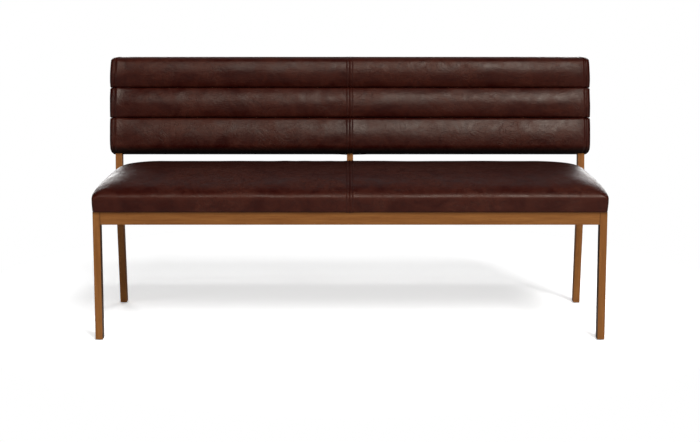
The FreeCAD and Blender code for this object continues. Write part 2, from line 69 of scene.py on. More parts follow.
# Seat cushion, in metres
HALF_SEAT = HALF_FRAME + 0.0028
SEAT_FRONT = FRAME_FRONT - 0.0036
SEAT_BACK = POST_FRONT - 0.0015
EDGE_HEIGHT = 0.0450
EDGE_BOW = 0.004  # the edge rises by this along the ends
EDGE_DRAW_END, EDGE_DRAW_FRONT = 0.0022, 0.0003  # the foot of the edge stands in by this
EDGE_ROUND_SIDE, EDGE_ROUND_FRONT = 0.021, 0.018
CROWN_RISE = 0.0732
CROWN_RUN_SIDE = 0.125
CROWN_RUN_FRONT, CROWN_RUN_BACK = 0.245, 0.160
SEAT_CORNER = 0.009
SEAT_CORNER_GROWTH = 0.096  # the corner's radius grows by this up to the top of the crown
HEM = 0.0475  # from the cushion's faces to the inner edge of its hem
HEM_CORNER = 0.001
FOLD = 0.0036  # radius of the fold at the cushion's lower edge
FOLD_CORNER = 0.0105  # radius of its upright corners, and of the deck's pocket
POCKET_INSET = 0.0019  # from the cushion's faces to the pocket that holds the deck
OVER_DECK = 0.0003  # from the deck up to the pocket's top
THIN_GAP = 0.0001  # from the leather to the frame and the deck under it

# Back pad, along the leaning posts from the top of the frame
LEAN = math.radians(6.0)
HALF_BACK = HALF_FRAME + 0.0165
PAD_BOTTOM, LOWER_SEAM, UPPER_SEAM, PAD_TOP = 0.1230, 0.2518, 0.3563, 0.4652
LEVELS = {"lower": (PAD_BOTTOM, LOWER_SEAM), "middle": (LOWER_SEAM, UPPER_SEAM),
          "upper": (UPPER_SEAM, PAD_TOP)}
PAD_FRONT = -0.036
PAD_REAR = 0.0441
CHANNEL_ROUND = {"lower": 0.165, "middle": 0.098, "upper": 0.098}  # radius of a channel's bulge
CREST_SHIFT = {"lower": -0.005, "middle": -0.005, "upper": 0.001}  # from its middle up to its crest
# Radius of the roll at a channel's lower and upper seam
SEAM_ROLLS = {"lower": (0, 0.008), "middle": (0.0075, 0.004), "upper": (0.0075, 0)}
SEAM_ZONE = 0.012  # height of that roll's rows
HALF_SEAM = 0.0002  # from a seam to the leather over and under it
END_NOTCH = (1.7, 0.0030)  # at a seam the ends draw in by this many falls of this radius
REAR_NOTCH = 0.4  # and the rear by this share of that
# How the pad's top and bottom close: height and depth of their quarter ellipse, the same of the
# superellipse seen from the front, its power, the draw at the rear, and how far the flat goes in at
# the front, ends and rear
CLOSINGS = {"upper": dict(way=1, roll=(0.021, 0.034), end=(0.0135, 0.0215), power=2.0, rear=0.006,
                          flat=(0.012, 0.012, 0.012)),
            "lower": dict(way=-1, roll=(0.035, 0.058), end=(0.019, 0.0105), power=1.6, rear=0.008,
                          flat=(0.003, 0.012, 0.002))}
TOP_TAPER = (0.085, 0.0040)  # over this height the ends lean in by this towards the top
PAD_CORNER, PAD_REAR_CORNER = 0.0155, 0.009
END_LEAN = (0.0018, 0.22, 0.14)  # the ends lean in by this, from this height up, over this
CORNER_ROOM = (0.4, 0.92)  # shares of the pad's depth for the rear corner, and for both
END_SEAM = 0.0092  # from the start of the rounded end to the seam beside it
END_SEAM_EASE = 0.028  # the channel falls to that seam over this
END_SEAM_FADE = 0.016  # the seam runs out over this at the pad's top and bottom
END_FLATNESS = 0.40  # share of a channel's bulge that is gone at the end
END_FLAT_RUN = 0.09  # the bulge is whole again this far in
END_DROP = (0.0045, 0.130)  # the front falls back by this over this to each end
DROP_BEHIND = (0.012, 0.020)  # but not this near the rear, and all of it this much further on

# Outside back, rolled in at its four edges
REAR_INSET = 0.026  # from the pad's edges to the panel's seam
REAR_ROLL = 0.0035
REAR_PROUD = 0.0012  # the panel stands out from the pad by this
REAR_SUNK = 0.0026  # and its inner face lies this deep in the pad
REAR_HALF_GAP = 0.0003  # from the middle to each half

# Seams, stitches and unevenness
MIDDLE_ROLL = 0.0040  # the leather turns in to the middle seam over this
TOP_STITCH = 0.0095  # from the middle seam to each row of stitches
STITCH_GROOVE = (0.0013, 0.0017)  # depth and half width of the groove of those rows
SEAM_SINK = (0.00066, 0.018)  # the leather sinks by this over this to the middle seam
TOP_FLUSH = (0.75, 0.024, 0.018)  # the seam loses this share of depth this far under the top, over this
SEAT_STITCH_START = 2  # rows of the seat's edge under the first stitch
STITCH_PITCH = 0.0044
STITCH_LENGTH = 0.0031
THREAD = 0.00042
PUCKER, GATHER, DIMPLE = 0.00028, 0.00032, 0.00042
GATHER_REACH = (0.004, 0.014)  # gathers start this near a seam and fade over this
SEAT_SWELL, BACK_SWELL, REAR_SWELL = 0.0007, 0.0006, 0.0004
SEAM_CALM, EDGE_CALM = 0.03, 0.02  # swells die out over this to the middle seam, to others

# Dust cover and its staples
CLOTH = 0.0005
CLOTH_SAG = 0.0028
CLOTH_WAVE = 0.0004
STAPLE_INSET = 0.008
STAPLE_PITCH = 0.055
STAPLE_MARGIN = 0.015  # from the cover's corners to the first staple
STAPLE_STRAY = (0.003, 0.16)  # along the edge, and in radians
STAPLE_CLEAR = 0.009  # from the bearers and corner blocks
STAPLE_HALF = 0.0055
STAPLE_WIRE = 0.00045
STAPLE_PROUD = 0.0006


def smooth(share):
    """0 below 0, 1 above 1, and 3s^2 - 2s^3 between."""
    share = np.clip(share, 0.0, 1.0)
    return share * share * (3.0 - 2.0 * share)


def ripples(x, y, seed, wavelength, count=9):
    """A soft uneven field from -1 to 1: the mean of sines that run in seeded directions."""
    draw = np.random.default_rng(seed)
    total = np.zeros(np.broadcast(x, y).shape)
    for _ in range(count):
        turn = draw.uniform(0, 2 * math.pi)
        length = wavelength * draw.uniform(0.6, 1.7)
        phase = draw.uniform(0, 2 * math.pi)
        total = total + np.sin(2 * math.pi * (x * math.cos(turn) + y * math.sin(turn)) / length + phase)
    return total / math.sqrt(2.0 * count)


def dimples(x, y, seed):
    """Small hollows and swellings in patches: a fine uneven field times a coarse one."""
    patch = smooth(1.1 * ripples(x, y, seed + 300, wavelength=0.34) + 0.35)
    return DIMPLE * patch * ripples(x, 1.3 * y, seed + 200, wavelength=0.062)


# Meshes
def piece(name, points, faces, finish, flat_faces=()):
    """A mesh object from points and faces, smooth but for flat_faces, its normals outward."""
    mesh = bpy.data.meshes.new(name)
    mesh.from_pydata([tuple(p) for p in points], [], faces)
    work = bmesh.new()
    work.from_mesh(mesh)
    for index, face in enumerate(work.faces):
        face.smooth = index not in flat_faces
    bmesh.ops.remove_doubles(work, verts=work.verts, dist=1e-6)
    bmesh.ops.recalc_face_normals(work, faces=work.faces)
    work.to_mesh(mesh)
    work.free()
    mesh.materials.append(finish)
    made = bpy.data.objects.new(name, mesh)
    bpy.context.scene.collection.objects.link(made)
    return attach(made, "root")


def sheet_faces(rows, columns):
    """The four-cornered faces of a grid of points, row after row."""
    index = np.arange(rows * columns).reshape(rows, columns)
    corners = [index[:-1, :-1], index[:-1, 1:], index[1:, 1:], index[1:, :-1]]
    return np.stack([c.ravel() for c in corners], axis=1).tolist()


TUBE_SIDES = 6
TUBE_ANGLES = np.arange(TUBE_SIDES) * math.pi / (0.5 * TUBE_SIDES)


def tube_faces(count, rings):
    """The faces of count closed tubes, each of rings of points, one tube after another."""
    size = rings * TUBE_SIDES
    one = []
    for ring in range(0, size - TUBE_SIDES, TUBE_SIDES):
        for k in range(TUBE_SIDES):
            after = ring + (k + 1) % TUBE_SIDES
            one.append([ring + k, after, after + TUBE_SIDES, ring + k + TUBE_SIDES])
    one += [list(reversed(range(TUBE_SIDES))), list(range(size - TUBE_SIDES, size))]
    return [[start + k for k in face] for start in range(0, count * size, size) for face in one]


def surface_normals(grid):
    """Unit normals of a grid of points, from the cross product of its two directions."""
    along = np.gradient(grid, axis=1)
    across = np.gradient(grid, axis=0)
    normals = np.cross(along, across)
    length = np.linalg.norm(normals, axis=2, keepdims=True)
    return normals / np.maximum(length, 1e-12)


def stretched(values, ends, reference):
    """Places near zero stay, and the last one of them, reference, moves to each row's end."""
    return values + (ends - reference) * (values / reference) ** 2


# Columns of points: from the middle seam out, a regular step, then towards the end of the straight
SEAM_COLUMNS = np.array([0.3, 0.7, 1.2, 1.8, 2.5, 3.4, 4.6, 6.0, 7.2, 8.1, 8.8, 9.5, 10.2, 10.9, 11.8, 13.2,
                         15.2, 18, 21, 25, 30, 36, 43, 51, 60]) * 0.001
END_COLUMNS = np.array([52, 46, 40, 35, 31, 27, 24, 21.5, 19, 17, 15, 13, 11, 9.5, 8, 7, 6, 5, 4, 3, 2,
                        1, 0]) * 0.001
COLUMN_STEP = 0.0068
STEPS_STOP = 0.056  # the regular steps stop this far from the end of the straight
STITCH_COLUMN = int(np.argmin(abs(SEAM_COLUMNS - TOP_STITCH)))
CORNER_TURNS = np.linspace(0, 0.5 * math.pi, 13)[1:-1]
END_SHARES = np.linspace(0, 1, 46)
ROUND_END = 2 * len(CORNER_TURNS) + len(END_SHARES)  # columns round an end and its corners


def plan_rows(half_width, front, back, front_corner, rear_corner):
    """Half outlines, one a row: from the middle of the back round the end to the middle of the
    front. A straight, a quarter circle, the end, a quarter circle and a straight. Every argument
    is an array with a value for each row. Returns x, y and the place along the end from 0 to 1."""
    reference = float(np.max(half_width - np.maximum(front_corner, rear_corner)))
    steps = np.arange(SEAM_COLUMNS[-1] + COLUMN_STEP, reference - STEPS_STOP, COLUMN_STEP)
    run = np.concatenate([SEAM_COLUMNS, steps, reference - END_COLUMNS])
    half_width, front, back, front_corner, rear_corner = [
        values[:, None] for values in (half_width, front, back, front_corner, rear_corner)]
    sine, cosine = np.sin(CORNER_TURNS), np.cos(CORNER_TURNS)
    x = [stretched(run, half_width - rear_corner, reference), half_width - rear_corner + rear_corner * sine,
         half_width + 0 * END_SHARES, half_width - front_corner + front_corner * cosine,
         stretched(run[::-1], half_width - front_corner, reference)]
    y = [back + 0 * run, back - rear_corner + rear_corner * cosine,
         back - rear_corner + (front + front_corner - back + rear_corner) * END_SHARES,
         front + front_corner - front_corner * sine, front + 0 * run]
    beside = len(run) + len(CORNER_TURNS)
    place = np.concatenate([np.zeros(beside), END_SHARES, np.ones(beside)])
    return np.concatenate(x, axis=1), np.concatenate(y, axis=1), place


def half_shell(name, grid, finish, side, close_top=False):
    """Half of a pad from its rows of points, closed at the middle seam and at the first row, and
    with close_top at the last row too. side is -1 for the left half, the right one's mirror image."""
    rows, columns = grid.shape[:2]
    faces = sheet_faces(rows, columns)
    starts = [row * columns for row in range(rows)]
    wall = starts + [start + columns - 1 for start in reversed(starts)]
    closing = [wall, list(range(columns))]
    if close_top:
        closing.append(list(range((rows - 1) * columns, rows * columns)))
    flat = range(len(faces), len(faces) + len(closing))
    return piece(name, grid.reshape(-1, 3) * np.array([side, 1, 1]), faces + closing, finish, flat)


def seam_fall(distance, roll):
    """How deep leather lies at a distance from a seam: a quarter circle of the roll's radius."""
    roll = max(roll, 1e-6)
    near = np.clip(roll - distance, 0.0, roll)
    return roll - np.sqrt(np.maximum(roll * roll - near * near, 0.0))


def middle_seam(x, along, seed):
    """Depth of the middle seam's relief: the roll at the seam, the row of stitches beside it in its
    groove, and puckers across the seam that fade over a few centimetres."""
    roll = seam_fall(x, MIDDLE_ROLL)
    row = STITCH_GROOVE[0] * np.exp(-((x - TOP_STITCH) / STITCH_GROOVE[1]) ** 2)
    sink = SEAM_SINK[0] * np.exp(-(x / SEAM_SINK[1]) ** 2)
    fade = np.exp(-(np.maximum(x - 0.004, 0) / 0.016) ** 1.4) * smooth(x / 0.006)
    puckers = PUCKER * fade * ripples(along, 0.4 * x, seed, wavelength=0.019)
    return roll + row + sink + puckers


def stitch_row(grid, rows, column, side):
    """Stitches laid along a column of a half's points: their middles, directions and normals."""
    mirror = np.array([side, 1, 1])
    points, normals = grid[rows, column] * mirror, surface_normals(grid)[rows, column] * mirror
    step = np.linalg.norm(np.diff(points, axis=0), axis=1)
    travelled = np.concatenate([[0], np.cumsum(step)])
    centres = np.arange(0.5 * STITCH_PITCH, travelled[-1] - 0.4 * STITCH_PITCH, STITCH_PITCH)

    def read(values, places):
        return np.stack([np.interp(places, travelled, values[:, k]) for k in (X, Y, Z)], axis=1)

    direction = read(points, centres + 0.001) - read(points, centres - 0.001)
    direction /= np.linalg.norm(direction, axis=1, keepdims=True)
    normal = read(normals, centres)
    normal -= direction * np.sum(normal * direction, axis=1, keepdims=True)
    normal /= np.linalg.norm(normal, axis=1, keepdims=True)
    return read(points, centres), direction, normal


def thread(name, rows, finish):
    """Every stitch as a short closed tube that arches up along a cosine and dips at both ends."""
    middle, direction, normal = [np.concatenate(parts) for parts in zip(*rows)]
    across = np.cross(direction, normal)
    place = np.linspace(-1, 1, 7)
    thickness = THREAD * np.sqrt(np.maximum(1 - 0.93 * place ** 4, 0.05))
    height = THREAD * (1.5 * np.cos(0.5 * math.pi * place) - 0.9)
    along = (0.5 * STITCH_LENGTH * place)[None, :, None, None] * direction[:, None, None, :]
    lift = (height[:, None] + thickness[:, None] * np.cos(TUBE_ANGLES))[None, :, :, None] \
        * normal[:, None, None, :]
    aside = (thickness[:, None] * np.sin(TUBE_ANGLES))[None, :, :, None] * across[:, None, None, :]
    points = (middle[:, None, None, :] + along + lift + aside).reshape(-1, 3)
    return piece(name, points, tube_faces(len(middle), len(place)), finish)


# Finishes
class Reading:
    """A number that a node gives: sums with numbers and other readings add their Math nodes."""

    def __init__(self, finish, socket):
        self.finish, self.socket = finish, socket

    def worked(self, operation, *values, clamp=False):
        node = self.finish.node("ShaderNodeMath", dict(enumerate(values)), operation=operation,
                                use_clamp=clamp)
        return Reading(self.finish, node.outputs[0])

    def __add__(self, other):
        return self.worked("ADD", self, other)

    __radd__ = __add__

    def __sub__(self, other):
        return self.worked("SUBTRACT", self, other)

    def __rsub__(self, other):
        return self.worked("SUBTRACT", other, self)

    def __mul__(self, other):
        return self.worked("MULTIPLY", self, other)

    __rmul__ = __mul__

    def __truediv__(self, other):
        return self.worked("DIVIDE", self, other)

    def __abs__(self):
        return self.worked("ABSOLUTE", self)

    def between(self, low, high):
        """0 where this is at low, 1 where it is at high, kept within 0 and 1."""
        return self.worked("MULTIPLY_ADD", self, 1.0 / (high - low), -low / (high - low), clamp=True)


def add_node(tree, kind, inputs, **settings):
    """A node of a kind, its settings made first, then the values or links of its sockets."""
    made = tree.nodes.new(kind)
    for word, value in settings.items():
        setattr(made, word, value)
    for key, value in inputs.items():
        value = value.socket if isinstance(value, Reading) else value
        if isinstance(value, bpy.types.NodeSocket):
            tree.links.new(value, made.inputs[key])
        else:
            made.inputs[key].default_value = value
    return made


class Finish:
    """A material with one Principled shader, built from nodes."""

    def __init__(self, name, **plain):
        self.material = bpy.data.materials.new(name)
        self.material.use_nodes = True
        self.tree = self.material.node_tree
        self.tree.nodes.clear()
        self.shader = self.node("ShaderNodeBsdfPrincipled", {})
        for words, value in plain.items():
            self.shader.inputs[words.replace("_", " ")].default_value = value
        self.output = self.node("ShaderNodeOutputMaterial", {"Surface": self.shader.outputs[0]})
        self.place = self.node("ShaderNodeTexCoord", {}).outputs["Object"]

    def node(self, kind, inputs, **settings):
        return add_node(self.tree, kind, inputs, **settings)

    def moved(self, scale=(1, 1, 1), location=(0, 0, 0), rotation=(0, 0, 0)):
        inputs = {"Vector": self.place, "Scale": scale, "Location": location, "Rotation": rotation}
        return self.node("ShaderNodeMapping", inputs).outputs[0]

    def along(self, axis, vector=None):
        """The coordinate of the place along X, Y or Z."""
        parts = self.node("ShaderNodeSeparateXYZ", {0: vector or self.place}).outputs
        return Reading(self, parts[axis])

    def noise(self, scale, detail=2.0, rough=0.5, bend=0.0, vector=None):
        inputs = {"Vector": vector or self.place, "Scale": scale, "Detail": detail, "Roughness": rough,
                  "Distortion": bend}
        return Reading(self, self.node("ShaderNodeTexNoise", inputs).outputs[0])

    def cells(self, scale, feature="F1", vector=None):
        inputs = {"Vector": vector or self.place, "Scale": scale}
        return Reading(self, self.node("ShaderNodeTexVoronoi", inputs, feature=feature).outputs["Distance"])

    def mixed(self, share, first, second):
        """Colour from first to second as share goes from 0 to 1."""
        first, second = [(*value, 1.0) if isinstance(value, tuple) else value for value in (first, second)]
        return self.node("ShaderNodeMix", {0: share, 6: first, 7: second}, data_type="RGBA").outputs[2]

    def connect(self, word, value):
        socket = value.socket if isinstance(value, Reading) else value
        self.tree.links.new(socket, self.shader.inputs[word])

    def finished(self, colour, roughness, relief=None):
        """The material with its colour, roughness and relief. A relief has a height of 0 to 1, the
        distance in metres that 1 stands for, and a strength."""
        self.connect("Base Color", colour)
        self.connect("Roughness", roughness)
        if relief:
            inputs = dict(zip(("Height", "Distance", "Strength"), relief))
            self.connect("Normal", self.node("ShaderNodeBump", inputs).outputs[0])
        return self.material


def scaled(colour, share):
    return tuple(share * c for c in colour)


# The last three tones are painted: shade for the seat's back, light for the seat's edge, and shade round the
# back pad's lower edge
LEATHER_TONES = {word: scaled(colour, 0.92) for word, colour in {
    "deep": (0.0225, 0.0016, 0.0008), "brown": (0.0440, 0.0072, 0.0036),
    "drop": (0.0160, 0.0011, 0.0006), "fold": (0.0120, 0.0009, 0.0005),
    "scuff": (0.0760, 0.0240, 0.0140), "kept": (0.0100, 0.0008, 0.0004),
    "painted_edge_light": (0.0640, 0.0125, 0.0065), "under": (0.0010, 0.0004, 0.0003)}.items()}


def leather_finish(name, shift, painted_seat_shade_and_light=False, painted_shade_under=False):
    """Waxed pull-up leather: mottled dark brown, paler where it is stretched, with a pebbled
    grain, fine creases and a polish that comes and goes. For the seat it paints shade, darker
    towards the back pad, and paints light, paler along the edge; for the lower pad it paints
    shade, darker round the pad's lower edge."""
    made = Finish(name, Specular_IOR_Level=0.20, Specular_Tint=(1.0, 0.84, 0.70, 1.0), Coat_Roughness=0.30)
    place = made.moved(location=shift)
    clouds = made.noise(4.5, detail=4.0, rough=0.55, bend=0.6, vector=place)
    patches = made.noise(15.0, detail=5.0, rough=0.60, bend=1.6, vector=place)
    drops = made.noise(44.0, detail=4.0, rough=0.55, bend=0.6, vector=place)
    wrinkles = made.noise(27.0, detail=4.0, rough=0.55, bend=2.4, vector=made.moved((1, 1, 1.25), shift))
    grain = made.cells(620.0, "SMOOTH_F1", place)
    pores = made.noise(1500.0, detail=2.0, rough=0.6, vector=place)
    worn = clouds.between(0.44, 0.58)
    fold_field = made.noise(19.0, detail=4.0, rough=0.5, bend=2.6, vector=place)
    scuff_field = made.noise(9.0, detail=5.0, rough=0.55, bend=3.0, vector=made.moved((1, 1, 1.7), shift))
    folds = (1 - abs(fold_field - 0.5).between(0.0, 0.030)) * worn
    scuffs = (1 - abs(scuff_field - 0.5).between(0.0, 0.02)) * worn

    tone = LEATHER_TONES
    pale = (clouds * 0.45 + patches * 0.55).between(0.40, 0.62)
    colour = made.mixed(pale, tone["deep"], tone["brown"])
    colour = made.mixed(drops.between(0.52, 0.72) * 0.40, colour, tone["drop"])
    colour = made.mixed(folds * 0.45, colour, tone["fold"])
    colour = made.mixed(scuffs * 0.35, colour, tone["scuff"])
    polish = 0.42 + 0.40 * (patches - 0.5) + 0.26 * (clouds - 0.5) + 0.22 * (drops - 0.5) + 0.07 * scuffs
    if painted_seat_shade_and_light:
        # painted shade: the seat darkens towards the back pad
        kept = made.along(Y).between(SEAT_BACK - 0.32, SEAT_BACK - 0.10)
        colour = made.mixed(kept * 0.75, colour, tone["kept"])
        # painted light: a paler band round the seat at the height of its rounded edge
        from_edge = abs(made.along(Z) - (RAIL_TOP + EDGE_HEIGHT + 0.005))
        colour = made.mixed(from_edge.between(0.014, 0.003) * 0.40, colour, tone["painted_edge_light"])
    if painted_shade_under:
        # painted shade: darker round the back pad's lower edge where it turns under, and rougher there too
        edge = RAIL_TOP + PAD_BOTTOM
        under = made.along(Z).between(edge + 0.032, edge + 0.012) * 0.85
        colour = made.mixed(under, colour, tone["under"])
        polish = polish + 0.5 * under
    made.connect("Coat Weight", (patches * 0.6 + clouds * 0.4).between(0.60, 0.38) * 0.05)
    height = grain * 0.16 + pores * 0.05 - folds * 0.30 + patches * 0.5 + wrinkles * 0.9
    return made.finished(colour, polish, (height, 0.0016, 0.55))


def pulled(axis, along, across):
    """Scales that draw a pattern out along one axis."""
    return [along if k == axis else across for k in (X, Y, Z)]


def wood_finish(name, axis, number, colours, seat_shade_and_joint=False):
    """Straight-grained hardwood: long streaks along axis, darker growth lines and short pores
    under a satin lacquer. The flag paints the seat's shadow, darker along the edge under the
    seat, and darkens the joint with the leg. number gives every piece a place of its own in the grain."""
    made = Finish(name, Specular_IOR_Level=0.16, Specular_Tint=(1.0, 0.86, 0.70, 1.0), Coat_Weight=0.03,
                  Coat_Roughness=0.28)
    shift = (1.37 * number, 0.73 * number, 2.11 * number)
    place = made.moved(pulled(axis, along=0.65, across=11.0), shift)
    wander = made.noise(1.1, detail=3.0, rough=0.5, bend=0.4, vector=place)
    streaks = made.noise(9.0, detail=5.0, rough=0.62, bend=0.35, vector=place)
    lines = made.noise(30.0, detail=3.0, rough=0.55, bend=0.1, vector=place)
    pores = made.noise(9.0, detail=2.0, rough=0.5, vector=made.moved(pulled(axis, along=6.5, across=95.0)))
    dark, middle, light = colours
    colour = made.mixed((streaks * 0.7 + wander * 0.3).between(0.34, 0.68), dark, light)
    colour = made.mixed(lines.between(0.35, 0.65) * 0.5, colour, middle)
    colour = made.mixed(pores.between(0.60, 0.74) * 0.45, colour, scaled(dark, 0.55))
    if seat_shade_and_joint:
        # painted shadow of the seat: a darker band along the top edge of the front rail and legs
        painted_rail_shadow = made.along(Z).between(RAIL_TOP - 0.011, RAIL_TOP) * 0.85
        colour = made.mixed(painted_rail_shadow, colour, scaled(dark, 0.30))
        joint = abs(abs(made.along(X)) - LEG_INNER).between(0.0011, 0.0004) * 0.85
        colour = made.mixed(joint, colour, scaled(dark, 0.15))
    polish = 0.44 + 0.16 * (streaks - 0.5) + 0.10 * (pores - 0.5)
    return made.finished(colour, polish, (streaks * 0.3 - pores.between(0.58, 0.75) * 0.6, 0.00025, 0.5))


VENEERS = 0.003  # thickness of a pale and a darker veneer together


def ply_finish(name, lean=0.0, layers_along=Z):
    """Plywood: thin layers of turn-about pale and darker veneer, seen on the edges."""
    made = Finish(name, Specular_IOR_Level=0.35)
    layers = made.along(layers_along, made.moved(rotation=(lean, 0, 0))) / VENEERS
    darker = abs(layers.worked("FRACT", layers) - 0.5).between(0.22, 0.28)
    streaks = made.noise(60.0, detail=4.0, rough=0.6, bend=0.3, vector=made.moved((0.12, 1.0, 1.0)))
    colour = made.mixed(darker, (0.50, 0.33, 0.17), (0.66, 0.49, 0.29))
    colour = made.mixed(streaks.between(0.35, 0.7) * 0.5, colour, (0.44, 0.28, 0.14))
    return made.finished(colour, 0.62 + 0.16 * (streaks - 0.5), (streaks, 0.0003, 0.4))


def dust_cloth_finish():
    """Black non-woven cloth: pressed fibres with a grid of small welds."""
    made = Finish("dust_cloth", Specular_IOR_Level=0.2)
    fibres = made.noise(900.0, detail=4.0, rough=0.7, bend=1.5)
    welds = made.cells(420.0)
    colour = made.mixed(fibres.between(0.3, 0.7), (0.010, 0.010, 0.011), (0.030, 0.030, 0.032))
    return made.finished(colour, 0.86 + 0.1 * (fibres - 0.5), (fibres * 0.6 + welds * 0.4, 0.0003, 0.6))


def speckled_finish(name, field, span, dark, light, polish, bump=None, **plain):
    """A finish that one noise field mottles: its colour over a span of the field, its roughness by
    a middle and a swing, and its relief by a distance and a strength."""
    made = Finish(name, **plain)
    mottle = made.noise(**field)
    colour = made.mixed(mottle.between(*span), dark, light)
    return made.finished(colour, polish[0] + polish[1] * (mottle - 0.5), bump and (mottle, *bump))


SHOW_COLOURS = ((0.144, 0.0470, 0.0112), (0.207, 0.0775, 0.0185), (0.267, 0.1100, 0.0290))
TIMBER_COLOURS = ((0.42, 0.27, 0.14), (0.52, 0.36, 0.20), (0.62, 0.45, 0.27))
REAR_POSTS = ("rear_leg_left", "rear_leg_right", "centre_post")
PAINTED_LIGHT_REAR_POSTS = 1.2  # painted light: the rear posts made paler by this, against the other show wood
GRAIN = {"front_rail": X, "rear_rail": X, "side_rail_left": Y, "side_rail_right": Y,
         "front_leg_left": Z, "front_leg_right": Z, "rear_leg_left": Z, "rear_leg_right": Z, "centre_post": Z}
CORNERS = ("front_left", "front_right", "rear_left", "rear_right")
BEARERS = ["bearer_" + word for word in ("left", "centre", "right")]
BLOCKS = ["corner_block_" + place for place in CORNERS]
BATTENS = ["%s_batten_%s" % (level, word) for level in ("upper", "lower") for word in SIDES]
TIMBER_START = 20  # number of the first hidden timber


def dress(node, material):
    """A carried-over node gets its finish."""
    made = frame["nodes"][node]
    made.data.materials.clear()
    made.data.materials.append(material)


for number, (node, axis) in enumerate(GRAIN.items()):
    # painted light: the rear posts' wood is made paler
    paler = PAINTED_LIGHT_REAR_POSTS if node in REAR_POSTS else 1.0
    colours = [scaled(colour, paler) for colour in SHOW_COLOURS]
    dress(node, wood_finish("wood_" + node, axis, number, colours, seat_shade_and_joint=node.startswith("front")))
for number, node in enumerate(BEARERS + BLOCKS + BATTENS):
    axis = Y if node in BEARERS else X
    dress(node, wood_finish("timber_" + node, axis, TIMBER_START + number, TIMBER_COLOURS))
dress("seat_deck", ply_finish("ply_deck"))
for node in ("back_board", "rear_panel"):
    dress(node, ply_finish("ply_" + node, -LEAN, Y))
steel = speckled_finish("zinc_plated_steel", dict(scale=240.0, detail=4.0, rough=0.6, bend=0.5), (0.3, 0.7),
                        (0.48, 0.48, 0.47), (0.66, 0.66, 0.64), (0.34, 0.2),
                        Specular_IOR_Level=0.5, Metallic=1.0)
for node in ("block_screws", "deck_screws", "post_screws", "board_screws", "panel_screws", "glide_nails"):
    dress(node, steel)
nylon = speckled_finish("nylon_glide", dict(scale=320.0, detail=5.0, rough=0.65, bend=0.8), (0.5, 0.75),
                        (0.018, 0.017, 0.016), (0.060, 0.057, 0.052), (0.5, 0.3), (0.0002, 0.4),
                        Specular_IOR_Level=0.45)
for place in CORNERS:
    dress("glide_" + place, nylon)

LEATHER_SHIFTS = {"seat": (0.0, 0.0, 0.0), "upper": (3.1, 0.2, 1.4), "middle": (6.9, 1.1, 0.9),
                  "lower": (8.2, 0.8, 2.6), "rear": (11.9, 2.2, 4.1)}
leathers = {panel: leather_finish("leather_" + panel, shift, panel == "seat", panel == "lower")
            for panel, shift in LEATHER_SHIFTS.items()}
waxed_thread = speckled_finish("thread", dict(scale=2600.0, bend=0.6), (0.35, 0.65), (0.016, 0.006, 0.005),
                               (0.040, 0.016, 0.012), (0.55, 0.2), (0.0002, 0.5), Specular_IOR_Level=0.4)


# Seat cushion
def crown_insets(first, run, rise, heights):
    """Insets at heights over an edge, on a curve that starts upright with a small radius and ends
    level. Its radius is first + k (2t/pi)^m at the angle t; m and k give the run and the rise."""
    turned = np.linspace(0, 0.5 * math.pi, 500)

    def reach(power):
        grown = (2 * turned / math.pi) ** power
        return np.trapz(grown * np.cos(turned), turned), np.trapz(grown * np.sin(turned), turned)

    low, high = 0.0, 12.0
    for _ in range(40):
        power = 0.5 * (low + high)
        up, inward = reach(power)
        low, high = (power, high) if inward / up < (run - first) / (rise - first) else (low, power)
    radius = first + (rise - first) / up * (2 * turned / math.pi) ** power
    step = np.diff(turned)

    def travelled(way):
        rate = radius * way
        return np.concatenate([[0], np.cumsum(0.5 * (rate[1:] + rate[:-1]) * step)])

    up, inward = travelled(np.cos(turned)), travelled(np.sin(turned))
    return np.interp(heights, up * rise / up[-1], inward * run / inward[-1])


def hidden_rows():
    """The seat's rows that the frame hides: up round the deck's pocket, then out along the hem."""
    pocket = [(POCKET_INSET, DECK_HIGH.z + OVER_DECK, FOLD_CORNER),
              (POCKET_INSET, DECK_LOW.z - THIN_GAP, FOLD_CORNER)]
    foot = RAIL_TOP + THIN_GAP
    hem = [(HEM, DECK_LOW.z - THIN_GAP, HEM_CORNER), (HEM, foot, HEM_CORNER)]
    hem += [(HEM + (EDGE_DRAW_END + FOLD - HEM) * share, foot, HEM_CORNER + SEAT_CORNER * share)
            for share in np.linspace(0.25, 0.9, 4)]
    return [(inset, inset, inset, z, corner, 0.0) for inset, z, corner in pocket + hem]


def fold_rows():
    """The seat's rows round the fold at its lower edge, a quarter circle."""
    rows = []
    for angle in np.radians([0, 22, 45, 67]):
        turned = FOLD * (1 - math.sin(angle))
        height = RAIL_TOP + THIN_GAP + FOLD * (1 - math.cos(angle))
        rows.append((EDGE_DRAW_END + turned, EDGE_DRAW_FRONT + turned, EDGE_DRAW_FRONT + turned, height,
                     FOLD_CORNER, 0.0))
    return rows


